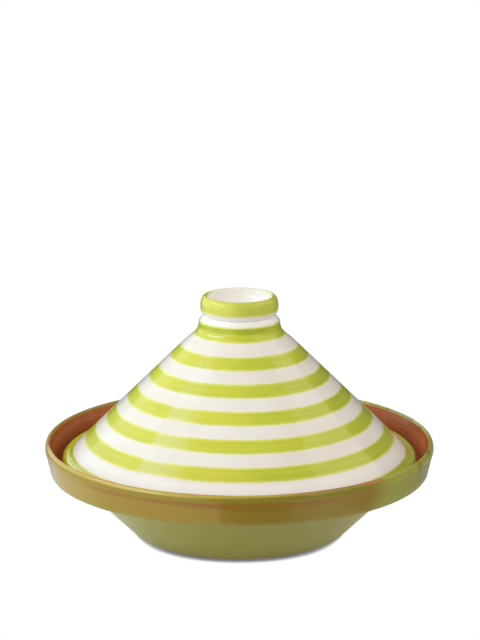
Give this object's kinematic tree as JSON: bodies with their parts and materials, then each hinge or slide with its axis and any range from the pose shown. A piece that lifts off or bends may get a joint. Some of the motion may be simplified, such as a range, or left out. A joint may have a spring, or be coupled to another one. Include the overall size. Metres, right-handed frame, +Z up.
{
  "type": "tagine pot",
  "caption": "Round earthenware tagine: a flared dish with an upright rim band, and a striped conical lid with a hollow beaded neck that lifts off.",
  "frame": {"origin": "centre of the foot ring, on the surface that the dish stands on", "axes": "+Z up, along the axis that every piece is turned about"},
  "size_m": [0.3, 0.3, 0.183],
  "materials": {
    "olive_glaze": "gloss",
    "striped_glaze": "gloss",
    "lime_glaze": "gloss"
  },
  "bodies": {
    "dish": {"dish": "olive_glaze"},
    "lid": {"lid": "striped_glaze", "neck_cup": "lime_glaze"}
  },
  "joints": [
    {"name": "lid_lift", "type": "slide", "parent": "dish", "child": "lid", "axis": [0, 0, 1], "range_m": [0, 0.15]}
  ]
}
